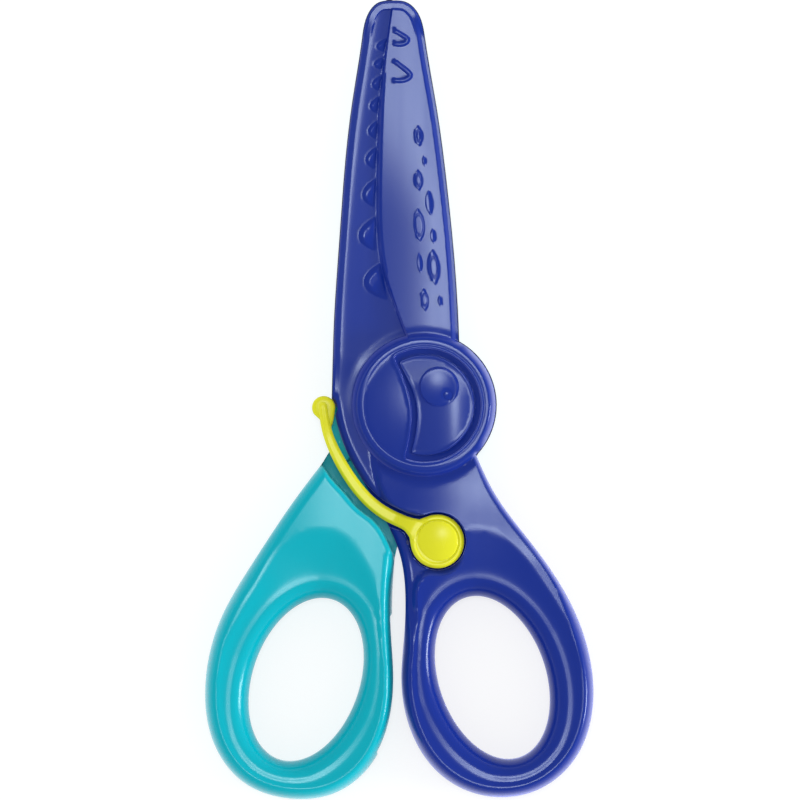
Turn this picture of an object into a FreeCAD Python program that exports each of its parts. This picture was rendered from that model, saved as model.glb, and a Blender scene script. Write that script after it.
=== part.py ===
"""Child's safety scissors with a crocodile blade and a spring lever, lying flat on their back.

The origin is on the pivot axis at the resting surface. +Y runs to the tip, +X to the right and
+Z up out of the front face. All sizes are in millimetres. The front half carries the right-hand
finger loop, and the rear half carries the left-hand one and turns about the pivot.
"""

import FreeCAD, Part
import math
import os

from FreeCAD import Vector

# Levels above the resting surface.
THICKNESS = 10.0
SHEAR = THICKNESS / 2
SHEAR_GAP = 0.05
INSERT_THICK = 0.9
INSERT_LIP = 0.15
BLADE_FACE = 7.5
JAW_RAISE = 0.35
TAPER_START = 20.0
TIP_THINNING = 0.8
TOOTH_ROOT = 0.3
TOOTH_SINK = 0.5
TOOTH_SHARE = 0.8
NECK_TOP = 8.8
NECK_END = -27.0
HANDLE_TOP = 9.6
LOOP_EDGE = 1.1
LONG_EDGE = 8.0

# Nub at the tip of the rear insert.
NUB_R = 0.9
NUB = Vector(-5.2, 60.2, 0)

# Pivot boss and what is inside it.
BOSS_R = 10.8
BOSS_TOP_R = 9.2
BOSS_SHOULDER = 8.1
BOSS_BULGE = (10.3, 8.95)
BOSS_RIM = 9.35
SCREW_R = 1.5
SCREW_TOP = 8.0
SCREW_HEAD_R = 3.0
SCREW_HEAD_THICK = 1.2
SCREW_SLOT = 0.8
WASHER_R = 3.4
WASHER_THICK = 0.5
RUN = 0.05
BUSH_R = 2.6
HUB_R = 3.4
HEAD_BORE_R = 3.8
CAP_R = 7.0
CAP_THICK = 0.9
CAP_SKIRT = 1.6
CAP_SKIRT_WALL = 0.8
SEAT = 2.85

# Crocodile eye panel, let into the front of the boss. Each left side is an arc through three points.
PANEL_R = 7.55
PANEL_LEFT = [(-3.6, 6.4), (-0.8, -0.3), (-1.7, -7.3)]
RECESS_R = 8.55
RECESS_LEFT = [(-4.6, 7.2), (-1.8, -0.6), (-3.0, -8.0)]
PANEL_FLOOR = 8.8

# Spring lever and its rivet.
BUTTON = Vector(2.0, -20.5, 0)
BUTTON_R = 4.03
RIVET_R = 3.1
RIVET_SHANK_R = 1.5
RIVET_FOOT = 2.4
LEVER_BOTTOM = 6.1
LEVER_TOP = 7.9
LEVER_FLOOR = 7.6
LEVER_RIM_TOP = 8.9
RIVET_RIM = 8.55
RIVET_TOP = 9.5
HEAD = Vector(-15.1, -0.4, 0)
HEAD_R = 1.76
HEAD_BOTTOM = 5.2
LIP_BOTTOM = 3.6
LEVER_GAP = 0.5
BUTTON_GAP = 0.3
HEAD_GAP = 0.3
LIP_GAP = 0.15

# Rear half's guide tongue and ledge, both arcs about the pivot.
TONGUE_R = 15.2
TONGUE_INNER_R = 8.0
TONGUE_START = 181.5
TONGUE_END = 216.0
WEB_BACK = 0.9
LEDGE_TOP = 3.4
LEDGE_INNER_R = 13.4

# The front half is full depth outside this radius, and left of DEEP_LEFT only below DEEP_BELOW.
DEEP_R = 18.6
DEEP_LEFT = -1.8
DEEP_BELOW = -23.6

# Rear boss: height where its chamfer ends.
REAR_CHAMFER = 1.4

# Finger holes: ellipses that lean towards the blade.
HOLE_LONG = 12.7
HOLE_SHORT = 8.05
HOLE_LEAN = 19.0
FRONT_HOLE = Vector(10.3, -41.05, 0)
REAR_HOLE = Vector(-17.75, -41.35, 0)
NECK_HOLE_GROW = 2.0

UP = Vector(0, 0, 1)
ORIGIN = Vector(0, 0, 0)
FAR = 200.0
TOUCH = 1e-4


def flat(points):
    """Points on the resting plane from pairs of numbers."""
    return [Vector(x, y, 0) for x, y in points]


def curve(points):
    """One smooth edge through the given pairs of numbers."""
    spline = Part.BSplineCurve()
    spline.interpolate(flat(points))
    return spline.toShape()


def chain(points):
    """Straight edges from each point to the next."""
    corners = flat(points)
    return [Part.makeLine(a, b) for a, b in zip(corners, corners[1:])]


def face(edges):
    return Part.Face(Part.Wire(Part.__sortEdges__(edges)))


def slab(plan, low, high):
    """A flat outline given thickness between two levels."""
    solid = plan.copy()
    solid.translate(Vector(0, 0, low))
    return solid.extrude(Vector(0, 0, high - low))


def disc(radius, low, high, centre=ORIGIN):
    return Part.makeCylinder(radius, high - low, centre + Vector(0, 0, low))


def one_solid(shape):
    """The single solid that a chain of boolean steps leaves."""
    shape = shape.removeSplitter()
    solids = shape.Solids
    if len(solids) != 1:
        raise ValueError(f"expected one solid, found {len(solids)}")
    return solids[0]


def turned_over(shape):
    """The same shape on the other side of the shear plane."""
    return shape.mirror(Vector(0, 0, SHEAR), UP)


def polar(radius, degrees):
    angle = math.radians(degrees)
    return radius * math.cos(angle), radius * math.sin(angle)


def sector(inner, outer, start, end):
    """Plan of a ring segment about the pivot, between two angles."""
    middle = (start + end) / 2
    edges = [
        Part.Arc(*flat([polar(r, start), polar(r, middle), polar(r, end)])).toShape()
        for r in (inner, outer)
    ]
    edges += chain([polar(inner, start), polar(outer, start)])
    edges += chain([polar(inner, end), polar(outer, end)])
    return face(edges)


# Plans -----------------------------------------------------------------------------------------

BLADE_EDGE = [
    (-13.75, 0.75), (-13.6, 6.8), (-13.4, 12.8), (-12.6, 24.8), (-11.7, 36.8), (-10.6, 46.0),
    (-9.22, 54.9), (-8.3, 58.8), (-6.9, 60.4), (-4.8, 60.75), (-2.7, 60.5), (-1.2, 59.2),
    (0.06, 54.9), (1.82, 44.4), (3.41, 32.3), (4.57, 20.3), (5.16, 9.4),
]

FRONT_HANDLE_EDGE = [
    (7.8, -7.4), (10.4, -12.9), (16.0, -20.6), (21.65, -29.0), (25.05, -38.5), (25.4, -45.65),
    (22.9, -53.0), (17.0, -58.0), (11.8, -59.05), (6.85, -58.2), (1.8, -55.0), (-2.1, -48.7),
    (-3.4, -41.4), (-3.0, -34.9), (-2.8, -28.9), (-3.6, -22.6), (-5.8, -17.3), (-8.9, -11.9),
    (-11.8, -6.6), (-13.2, -2.3), (-13.75, 0.75),
]

REAR_HANDLE_EDGE = [
    (-15.4, -8.9), (-18.65, -13.15), (-25.75, -23.7), (-30.85, -32.8), (-32.95, -42.8),
    (-31.8, -50.5), (-27.3, -56.7), (-19.55, -59.3), (-13.75, -58.55), (-8.7, -55.0),
    (-5.35, -48.7), (-4.35, -41.0), (-4.75, -33.5), (-4.75, -28.0), (-4.4, -23.0),
]

PLATE_CORNERS = [(-4.4, -23.0), (-5.4, -20.8), (-6.7, -18.4), (-7.9, -17.1)]
PLATE_ARC = [(-7.9, -17.1), (-12.1, -13.1), (-15.4, -8.9)]

# Where the raised upper jaw steps down to the lower jaw.
JAW_EDGE = [
    (-4.8, 59.4), (-5.7, 52.3), (-6.3, 43.0), (-6.55, 32.0), (-6.0, 21.8), (-4.0, 14.4),
    (-1.9, 9.0),
]

# Teeth from the boss to the tip: height of the middle, half height and reach to the left.
TEETH = [
    (18.0, 3.5, 3.6), (25.2, 3.1, 3.2), (31.7, 2.5, 2.7), (36.8, 2.0, 2.3), (41.2, 1.6, 2.0),
    (45.0, 1.4, 1.8), (48.6, 1.2, 1.6), (51.8, 0.9, 1.4), (54.8, 0.7, 1.2),
]

# Corners past the blade's right edge and tip, which close the upper jaw's plan.
JAW_CORNERS = [(8.0, 8.0), (8.0, 62.0)]

# Teardrop of the lever's head: its round end, and the corners of its tail.
HEAD_EDGE = [
    (-16.6, -1.3), (-16.5, 0.6), (-15.1, 1.36), (-13.7, 0.6), (-13.4, -0.9), (-13.9, -3.4),
]
HEAD_TAIL = [(-13.9, -3.4), (-14.6, -3.9), (-15.6, -2.6), (-16.6, -1.3)]

# Lever's centre line from its head to the button, with half widths.
LEVER_LINE = [
    (-15.2, -0.15, 0.65), (-14.95, -2.2, 0.7), (-14.4, -4.5, 0.75), (-12.5, -8.7, 0.85),
    (-10.0, -12.5, 0.9), (-6.7, -15.7, 0.95), (-3.8, -17.3, 1.0), (-0.8, -18.5, 1.35),
]


def beside(points, distances):
    """Points moved to the left of their own line by the given distances."""
    moved = []
    for index, (x, y) in enumerate(points):
        before = points[max(index - 1, 0)]
        after = points[min(index + 1, len(points) - 1)]
        run_x = after[0] - before[0]
        run_y = after[1] - before[1]
        step = distances[index] / math.hypot(run_x, run_y)
        moved.append((x - run_y * step, y + run_x * step))
    return moved


def blade_plan(grow=0.0):
    """Plan of the blade down to the pivot, wider by grow along its edge."""
    edge = beside(BLADE_EDGE, [grow] * len(BLADE_EDGE))
    inner = [edge[-1], (0.0, 0.0), (-8.5, -6.6), edge[0]]
    return face([curve(edge)] + chain(inner))


def front_handle_plan():
    inner = [(-13.75, 0.75), (0.0, 5.0), (7.8, -7.4)]
    return face([curve(FRONT_HANDLE_EDGE)] + chain(inner))


def rear_handle_plan():
    edges = [curve(REAR_HANDLE_EDGE), Part.Arc(*flat(PLATE_ARC)).toShape()]
    return face(edges + chain(PLATE_CORNERS))


def web_plan():
    """Rear half's low web, which joins its boss to its handle under the front half's neck."""
    right = curve([(9.4, -5.3), (5.0, -12.0), (0.6, -16.2), (-2.6, -18.2), (-4.2, -23.4)])
    left = [(-4.2, -23.4), (-9.0, -21.0), (-15.4, -8.9), (-14.3, -7.1), (-9.0, -5.0)]
    return face([right] + chain(left + [(0.0, 0.0), (9.4, -5.3)]))


def panel_plan(radius, left_arc):
    """Segment of a circle whose left side is an arc that bulges to the right."""
    top, middle, bottom = left_arc
    start = math.degrees(math.atan2(bottom[1], bottom[0]))
    end = math.degrees(math.atan2(top[1], top[0]))
    ends = [polar(radius, start), polar(radius, (start + end) / 2), polar(radius, end)]
    outer = Part.Arc(*flat(ends)).toShape()
    inner = Part.Arc(*flat([ends[0], middle, ends[2]])).toShape()
    return face([outer, inner])


def finger_hole(centre, lean, grow=0.0):
    """Plan of a finger hole, leaning to the left for a positive angle."""
    angle = math.radians(90 + lean)
    along = Vector(math.cos(angle), math.sin(angle), 0)
    across = UP.cross(along)
    long_tip = centre + along * (HOLE_LONG + grow)
    short_tip = centre + across * (HOLE_SHORT + grow)
    return face([Part.Ellipse(long_tip, short_tip, centre).toShape()])


def lever_arm_plan(grow=0.0):
    """Plan of the lever's arm, wider by grow on each side."""
    line = [(x, y) for x, y, half in LEVER_LINE]
    upper = beside(line, [half + grow for x, y, half in LEVER_LINE])
    lower = beside(line, [-half - grow for x, y, half in LEVER_LINE])
    ends = chain([upper[0], lower[0]]) + chain([upper[-1], lower[-1]])
    return face([curve(upper), curve(lower)] + ends)


# Shapes that both halves share, built as front ones ---------------------------------------------

def crown(radius, low, high):
    """Arc from a rim up to the axis, centred on the axis so that it turns into part of a sphere."""
    sphere_r = (radius**2 + (high - low) ** 2) / (2 * (high - low))
    middle = math.asin(radius / sphere_r) / 2
    on_arc = Vector(sphere_r * math.sin(middle), 0, high - sphere_r * (1 - math.cos(middle)))
    return Part.Arc(Vector(radius, 0, low), on_arc, Vector(0, 0, high)).toShape()


def front_boss(base):
    """Boss with a rolled shoulder and a shallow dome."""
    bulge_r, bulge_z = BOSS_BULGE
    rim = [
        Vector(BOSS_R, 0, BOSS_SHOULDER),
        Vector(bulge_r, 0, bulge_z),
        Vector(BOSS_TOP_R, 0, BOSS_RIM),
    ]
    edges = [
        Part.makeLine(Vector(0, 0, base), Vector(BOSS_R, 0, base)),
        Part.makeLine(Vector(BOSS_R, 0, base), rim[0]),
        Part.Arc(*rim).toShape(),
        crown(BOSS_TOP_R, BOSS_RIM, THICKNESS),
        Part.makeLine(Vector(0, 0, THICKNESS), Vector(0, 0, base)),
    ]
    return Part.Face(Part.Wire(edges)).revolve(ORIGIN, UP, 360)


def blade_shell():
    """Blade above its insert: a plain face, a raised upper jaw and nine teeth."""
    base = SHEAR + SHEAR_GAP + INSERT_THICK
    shell = slab(blade_plan(), base, BLADE_FACE)
    jaw_plan = face([curve(JAW_EDGE)] + chain([JAW_EDGE[-1]] + JAW_CORNERS + [JAW_EDGE[0]]))
    jaw = slab(jaw_plan, base, BLADE_FACE + JAW_RAISE)
    jaw = jaw.common(slab(blade_plan(), base, THICKNESS))
    raised = shell.fuse([jaw] + [tooth(*sizes) for sizes in TEETH])
    return raised.cut(tip_wedge())


def jaw_x(height):
    """Where the jaw's edge is at a given height up the blade."""
    for (x0, y0), (x1, y1) in zip(JAW_EDGE, JAW_EDGE[1:]):
        if y1 <= height <= y0:
            return x0 + (x1 - x0) * (height - y0) / (y1 - y0)
    raise ValueError("height is off the jaw's edge")


def tooth(middle, half_height, reach):
    """Half-round tooth that lies on the lower jaw and points to the left."""
    root = jaw_x(middle) + TOOTH_ROOT
    top = (root, middle + half_height)
    bottom = (root, middle - half_height)
    plan = face([curve([top, (root - reach, middle), bottom])] + chain([bottom, top]))
    return slab(plan, BLADE_FACE - TOOTH_SINK, BLADE_FACE + TOOTH_SHARE * JAW_RAISE)


def tip_wedge():
    """What a gentle taper takes off the blade's face between the boss and the tip."""
    left = -FAR / 2
    end = JAW_CORNERS[-1][1]
    low = BLADE_FACE + JAW_RAISE
    high = 2 * THICKNESS
    side = Part.makePolygon([
        Vector(left, TAPER_START, low),
        Vector(left, end, low - TIP_THINNING),
        Vector(left, end, high),
        Vector(left, TAPER_START, high),
        Vector(left, TAPER_START, low),
    ])
    return Part.Face(side).extrude(Vector(FAR, 0, 0))


def rounded(shape, radius, levels):
    """Round the long edges that lie flat at the given levels."""
    edges = []
    for edge in shape.Edges:
        box = edge.BoundBox
        flat_at = [z for z in levels if abs(box.ZMin - z) < TOUCH and abs(box.ZMax - z) < TOUCH]
        if flat_at and edge.Length > LONG_EDGE:
            edges.append(edge)
    return shape.makeFillet(radius, edges)


# Nodes -----------------------------------------------------------------------------------------

def insert_body(low):
    """Stiff glass-filled insert, a little wider than the blade and boss that it backs."""
    high = low + INSERT_THICK
    blade = slab(blade_plan(INSERT_LIP), low, high)
    return blade.fuse(disc(BOSS_R + INSERT_LIP, low, high)).cut(disc(HUB_R, low, high))


def make_front_blade():
    """Front insert, notched beside the lever's head."""
    body = insert_body(SHEAR + SHEAR_GAP)
    return one_solid(body.cut(disc(HEAD_R + HEAD_GAP, 0, THICKNESS, HEAD)))


def make_rear_blade():
    """Rear insert, with a nub that shows at the tip."""
    low = SHEAR - SHEAR_GAP - INSERT_THICK
    nub = disc(NUB_R, low, low + INSERT_THICK, NUB)
    return one_solid(insert_body(low).fuse(nub))


def full_depth_region():
    """Space where the front half may use the whole thickness, clear of the rear half's web."""
    space = Part.makeBox(FAR, FAR, THICKNESS, Vector(-FAR / 2, -FAR, 0))
    space = space.cut(disc(DEEP_R, 0, THICKNESS))
    corner = Part.makeBox(FAR, FAR, THICKNESS, Vector(DEEP_LEFT - FAR, DEEP_BELOW, 0))
    return space.cut(corner)


def make_front_half(insert):
    """Front blade, boss, neck and right-hand finger loop in one moulding."""
    low = SHEAR + SHEAR_GAP
    plan = front_handle_plan()
    handle = slab(plan, 0, HANDLE_TOP).common(full_depth_region())
    handle = handle.cut(slab(finger_hole(FRONT_HOLE, HOLE_LEAN), 0, THICKNESS))
    handle = rounded(one_solid(handle), LOOP_EDGE, [0, HANDLE_TOP])
    neck_space = Part.makeBox(FAR, FAR, THICKNESS, Vector(-FAR / 2, NECK_END, 0))
    neck = slab(plan, low, NECK_TOP).common(neck_space)
    neck = neck.cut(slab(finger_hole(FRONT_HOLE, HOLE_LEAN, NECK_HOLE_GROW), 0, THICKNESS))
    body = blade_shell().fuse([front_boss(low), handle, neck])
    body = body.cut([
        insert,
        disc(SCREW_R, low, SCREW_TOP),
        slab(panel_plan(RECESS_R, RECESS_LEFT), PANEL_FLOOR, 2 * THICKNESS),
        disc(BUTTON_R + BUTTON_GAP, LEVER_BOTTOM - RUN, THICKNESS, BUTTON),
        slab(lever_arm_plan(LEVER_GAP), LEVER_BOTTOM - RUN, THICKNESS),
        disc(RIVET_SHANK_R, RIVET_FOOT, THICKNESS, BUTTON),
        disc(HEAD_R + HEAD_GAP, low, THICKNESS, HEAD),
    ])
    return one_solid(body)


def make_eye_panel():
    """Crocodile's eye: a domed segment that sits inside its recess with a channel around it."""
    plan = panel_plan(PANEL_R, PANEL_LEFT)
    panel = slab(plan, PANEL_FLOOR, THICKNESS).common(front_boss(SHEAR))
    return one_solid(panel)


def make_rear_half(insert):
    """Rear blade, boss, web, guide tongue and left-hand finger loop in one moulding."""
    high = SHEAR - SHEAR_GAP
    handle = slab(rear_handle_plan(), 0, HANDLE_TOP)
    handle = handle.cut(slab(finger_hole(REAR_HOLE, -HOLE_LEAN), 0, THICKNESS))
    handle = rounded(one_solid(handle), LOOP_EDGE, [0, HANDLE_TOP])
    web = slab(web_plan(), WEB_BACK, LEDGE_TOP)
    core = slab(web_plan(), WEB_BACK, high).common(disc(LEDGE_INNER_R, 0, high))
    tongue = slab(sector(TONGUE_INNER_R, TONGUE_R, TONGUE_START, TONGUE_END), WEB_BACK, high)
    rear_boss = disc(BOSS_R, REAR_CHAMFER, high)
    foot = Part.makeCone(BOSS_TOP_R, BOSS_R, REAR_CHAMFER)
    body = turned_over(blade_shell()).fuse([rear_boss, foot, handle, web, core, tongue])
    body = body.cut([
        insert,
        disc(CAP_R, 0, CAP_SKIRT),
        disc(HEAD_BORE_R, 0, SEAT),
        disc(BUSH_R, 0, high),
    ])
    return one_solid(body)


def make_rear_cap():
    """Snap-in disc with a skirt that hides the screw's head."""
    cap = disc(CAP_R, 0, CAP_SKIRT)
    return one_solid(cap.cut(disc(CAP_R - CAP_SKIRT_WALL, CAP_THICK, CAP_SKIRT)))


def make_pivot_screw():
    """Shoulder screw from the back, with a slotted head and a shank that enters the front hub."""
    head_low = SEAT - RUN - WASHER_THICK - SCREW_HEAD_THICK
    head = disc(SCREW_HEAD_R, head_low, head_low + SCREW_HEAD_THICK)
    slot = Part.makeBox(FAR, SCREW_SLOT, SCREW_SLOT, Vector(-FAR / 2, -SCREW_SLOT / 2, head_low))
    return one_solid(head.cut(slot).fuse(disc(SCREW_R, head_low + SCREW_SLOT, SCREW_TOP)))


def make_screw_washer():
    low = SEAT - RUN - WASHER_THICK
    washer = disc(WASHER_R, low, low + WASHER_THICK)
    return one_solid(washer.cut(disc(SCREW_R, low, low + WASHER_THICK)))


def make_pivot_bush():
    """Sleeve pressed into the rear half, which turns on the screw's shank."""
    bush = disc(BUSH_R, SEAT, SHEAR - SHEAR_GAP)
    return one_solid(bush.cut(disc(SCREW_R + RUN, 0, THICKNESS)))


def make_spring_lever():
    """Springy arm with a ring around the rivet and a head that hooks over the guide tongue."""
    ring = disc(BUTTON_R, LEVER_BOTTOM, LEVER_RIM_TOP, BUTTON)
    ring = ring.cut(disc(RIVET_R + RUN, LEVER_FLOOR, THICKNESS, BUTTON))
    arm = slab(lever_arm_plan(), LEVER_BOTTOM, LEVER_TOP)
    arm = arm.cut(disc(RIVET_R + RUN, LEVER_FLOOR, THICKNESS, BUTTON))
    arm_end = disc(LEVER_LINE[0][2], LEVER_BOTTOM, LEVER_TOP, Vector(*LEVER_LINE[0][:2], 0))
    drop = face([curve(HEAD_EDGE)] + chain(HEAD_TAIL))
    head = slab(drop, HEAD_BOTTOM, LEVER_BOTTOM)
    lip = slab(drop, LIP_BOTTOM, HEAD_BOTTOM).cut(disc(TONGUE_R + LIP_GAP, 0, THICKNESS))
    lever = arm.fuse([ring, arm_end, head, lip])
    return one_solid(lever.cut(disc(RIVET_SHANK_R + RUN, 0, THICKNESS, BUTTON)))


def make_lever_rivet():
    """Domed rivet whose shank is pressed into the front half's neck."""
    low = LEVER_FLOOR + RUN
    edges = [
        Part.makeLine(Vector(0, 0, low), Vector(RIVET_R, 0, low)),
        Part.makeLine(Vector(RIVET_R, 0, low), Vector(RIVET_R, 0, RIVET_RIM)),
        crown(RIVET_R, RIVET_RIM, RIVET_TOP),
        Part.makeLine(Vector(0, 0, RIVET_TOP), Vector(0, 0, low)),
    ]
    dome = Part.Face(Part.Wire(edges)).revolve(ORIGIN, UP, 360)
    rivet = dome.fuse(disc(RIVET_SHANK_R, RIVET_FOOT, low))
    rivet.translate(BUTTON)
    return one_solid(rivet)


def main():
    os.makedirs("parts", exist_ok=True)
    front_insert = make_front_blade()
    rear_insert = make_rear_blade()
    nodes = {
        "front_half": make_front_half(front_insert),
        "front_blade": front_insert,
        "eye_panel": make_eye_panel(),
        "rear_half": make_rear_half(rear_insert),
        "rear_blade": rear_insert,
        "rear_cap": make_rear_cap(),
        "pivot_screw": make_pivot_screw(),
        "screw_washer": make_screw_washer(),
        "pivot_bush": make_pivot_bush(),
        "spring_lever": make_spring_lever(),
        "lever_rivet": make_lever_rivet(),
    }
    for name, shape in nodes.items():
        if not shape.isValid():
            raise ValueError(f"{name} is not a valid solid")
        shape.exportStep(f"parts/{name}.step")
        print(name, round(shape.Volume, 1), shape.BoundBox)


main()
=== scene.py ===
"""Looks for the child's craft scissors: moulded plastic halves, eye panel, lever and rivet.

Shapes are worked out in millimetres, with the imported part's origin and axes, and written in metres.
Each moulding is a closed mesh between a front and a back relief, both functions of x and y.
"""

import math

import bpy
import numpy as np
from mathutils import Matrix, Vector, geometry


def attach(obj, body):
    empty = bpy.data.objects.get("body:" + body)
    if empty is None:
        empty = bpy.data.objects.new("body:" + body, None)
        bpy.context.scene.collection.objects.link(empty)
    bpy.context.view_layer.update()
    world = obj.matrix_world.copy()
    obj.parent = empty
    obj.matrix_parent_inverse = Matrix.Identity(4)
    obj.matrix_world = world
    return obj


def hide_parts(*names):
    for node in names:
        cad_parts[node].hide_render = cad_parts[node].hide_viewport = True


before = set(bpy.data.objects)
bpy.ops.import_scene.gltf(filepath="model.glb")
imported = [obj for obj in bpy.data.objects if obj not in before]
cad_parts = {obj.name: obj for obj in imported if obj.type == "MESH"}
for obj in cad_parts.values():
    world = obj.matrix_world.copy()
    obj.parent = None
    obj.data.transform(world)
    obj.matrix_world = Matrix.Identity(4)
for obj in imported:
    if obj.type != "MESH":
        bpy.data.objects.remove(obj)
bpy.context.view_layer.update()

MM = 0.001

# Levels above the resting surface, in millimetres.
FRONT_BACK = 5.05
INSERT_FRONT = 5.96
INSERT_BACK = 4.04
REAR_TOP = 4.95
THICKNESS = 10.0
HANDLE_THICK = 9.6
LOWER_JAW = 7.3
UPPER_JAW = 8.05
NECK_TOP = 8.8
PLATE_TOP = 9.5
WEB_BACK = 0.9
LEDGE_TOP = 3.4
LOW_TOP = 7.2

# Slopes, as height lost per millimetre. Only faces flatter than about 0.1 look pale.
BLADE_TAPER = 0.0093
LOWER_JAW_FALL = 0.1
LOW_FALL = 0.11
TONGUE_FALL = 0.09
LEDGE_RISE = 0.1

# Upper jaw: a rounded ridge that shifts left towards the tip and bows less there, and the step
# down from it, which is narrow at both ends and has a least height.
JAW_STEP = 0.25
RIDGE_X = 2.4
RIDGE_SHIFT = 4.9
RIDGE_ROUND = 5
RIDGE_BOW = 0.095
RIDGE_BOW_LOSS = 0.06
RIDGE_TAPER = 0.018
STEP_AT_TIP = 0.22
STEP_GAIN = 0.55
STEP_LOSS = 0.6

# Blade: the pale band inside its left edge, and its rims as distances from the edge with falls.
BLADE_LEFT = -13.6
BLADE_BOW = 0.00155
BAND_END = 1.25
BAND_ROUND = 0.3
LEFT_RIM = ([0, 0.1, 0.28, 0.98], [0.42, 0.24, 0.08, 0.0])
RIGHT_RIM = ([0, 0.36, 0.9, 0.98], [0.50, 0.50, 0.03, 0.0])
TIP_RIM = 0.36
TIP_RIM_FALL = 0.3
TIP_RIM_RISE = 0.16
TIP_START = 55.0
TIP_FULL = 59.0

# Pivot boss, lever and web.
BOSS_R = 10.8
CREST_R = 9.65
CREST = 9.4
BOSS_FOOT = 6.3
BOSS_TOP = 9.98
BOSS_SWELL = 0.1
BOSS_FILLET = 0.6
BOSS_DIP = ([8.8, 9.05, 9.3], [0, 0.035, 0])
BOSS_DOWNHILL = 0.14
BOSS_GROOVE = 0.25
BOSS_GROOVE_WIDTH = 0.7
SHOULDER_POWER = 2.4
PANEL_FLOOR = 8.8
PANEL_R = 7.55
RECESS_R = 8.55
FREE_SIDE = math.radians(9.0)
RECESS_DEPTH = 0.35
RECESS_RUN = 0.9
EYE = (2.2, 2.7)
EYE_R = 2.9
GLINT = (2.1, 3.6)
PUPIL = (3.55, 1.45)
PUPIL_R = 0.66
PANEL_TOP = 9.52
PANEL_RIDGE = (4.7, -2.3)
PANEL_STEEP = 0.12
PANEL_ROUND = 1.58
PANEL_BOW = 0.003
EYE_TOP = 9.74
EYE_BOW = 0.021
PUPIL_DEPTH = 0.07
CAP_R = 7.03
CAP_POCKET = 1.62
REAR_CHAMFER = 1.4
BUTTON = (2.0, -20.5)
BUTTON_R = 4.03
RIVET_R = 3.12
RIVET_TOP = 9.42
RIVET_FLOOR = 7.7
POCKET_GAP = 0.3
POCKET_FLOOR = 6.05
ARM_GAP = 0.5
LEVER_BOTTOM = 6.1
LEVER_TOP = 7.9
LEVER_RIM = 8.9
HEAD = (-15.1, -0.4)
HEAD_R = 1.76
HEAD_GAP = 0.3
HEAD_TOP = 6.75
HEAD_BOTTOM = 5.2
TONGUE_R = 15.2
TONGUE_START = 181.5
TONGUE_END = 216.0
LEDGE_R = 13.4
DEEP_R = 18.6
DEEP_LEFT = -1.8
DEEP_BELOW = -23.6

# Outlines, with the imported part's points, drawn in by a hundredth where it is widest.
BLADE_EDGE = [
    (-13.75, 0.75), (-13.6, 6.8), (-13.4, 12.8), (-12.6, 24.8), (-11.7, 36.8), (-10.6, 46.0),
    (-9.22, 54.9), (-8.3, 58.8), (-6.9, 60.4), (-4.8, 60.75), (-2.7, 60.5), (-1.2, 59.2),
    (0.06, 54.9), (1.82, 44.4), (3.41, 32.3), (4.57, 20.3), (5.16, 9.4),
]
FRONT_HANDLE_EDGE = [
    (7.8, -7.4), (10.4, -12.9), (16.0, -20.6), (21.65, -29.0), (25.05, -38.5), (25.39, -45.65),
    (22.9, -53.0), (17.0, -58.0), (11.8, -59.05), (6.85, -58.2), (1.8, -55.0), (-2.1, -48.7),
    (-3.4, -41.4), (-3.0, -34.9), (-2.8, -28.9), (-3.6, -22.6), (-5.8, -17.3), (-8.9, -11.9),
    (-11.8, -6.6), (-13.2, -2.3), (-13.75, 0.75),
]
REAR_HANDLE_EDGE = [
    (-15.4, -8.9), (-18.65, -13.15), (-25.75, -23.7), (-30.85, -32.8), (-32.94, -42.8),
    (-31.8, -50.5), (-27.3, -56.7), (-19.55, -59.3), (-13.75, -58.55), (-8.7, -55.0),
    (-5.35, -48.7), (-4.35, -41.0), (-4.75, -33.5), (-4.75, -28.0), (-4.4, -23.0),
]
PLATE_EDGE = [(-4.4, -23.0), (-5.4, -20.8), (-6.7, -18.4), (-7.9, -17.1)]
PLATE_ARC = [(-7.9, -17.1), (-10.3, -15.2), (-12.1, -13.1), (-14.0, -11.0), (-15.4, -8.9)]
WEB_RIGHT = [(9.4, -5.3), (5.0, -12.0), (0.6, -16.2), (-2.6, -18.2), (-4.25, -22.3)]
WEB_LEFT = [(-15.4, -8.9), (-14.3, -7.1), (-13.55, -6.85)]
JAW_EDGE = [
    (-4.8, 59.4), (-5.7, 52.3), (-6.3, 43.0), (-6.55, 32.0), (-6.0, 21.8), (-4.0, 14.4),
    (-1.9, 9.0),
]
LEVER_LINE = [
    (-15.2, -0.15, 0.65), (-14.95, -2.2, 0.7), (-14.4, -4.5, 0.75), (-12.5, -8.7, 0.85),
    (-10.0, -12.5, 0.9), (-6.7, -15.7, 0.95), (-3.8, -17.3, 1.0),
]
HOLE_LONG = 12.7
HOLE_SHORT = 8.05
HOLE_LEAN = 19.0
FRONT_HOLE = (10.3, -41.05)
REAR_HOLE = (-17.75, -41.35)

# Where the dished finger grips begin, from left to right.
FRONT_DISH = [
    (-2.4, -42.0), (-1.6, -38.0), (-1.15, -32.2), (-0.9, -26.6), (0.6, -22.8), (4.2, -19.6),
    (8.3, -18.6), (11.8, -19.7), (14.7, -22.4), (17.0, -25.6), (19.0, -28.6), (21.2, -32.2),
    (23.0, -35.8), (24.3, -40.0),
]
REAR_DISH = [
    (-31.8, -42.0), (-30.5, -37.4), (-27.3, -31.1), (-24.8, -26.5), (-22.0, -21.8), (-19.5, -19.7),
    (-15.9, -18.8), (-12.3, -19.7), (-9.9, -22.3), (-8.1, -25.7), (-6.9, -30.7), (-6.4, -36.0),
    (-5.4, -42.0),
]
DISH_END = -39.5
# Left border of the front neck's plate, down to the grip; the surface left of it is low.
LOW_BORDER = [
    (-8.6, -4.0), (-7.6, -8.5), (-6.9, -11.6), (-5.6, -14.5), (-2.2, -16.4), (2.0, -17.6),
    (5.2, -20.5), (4.7, -24.2), (3.7, -24.9), (1.9, -25.2), (0.12, -25.3), (-1.05, -26.6),
    (-1.2, -32.2), (-1.1, -38.0),
]

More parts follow.
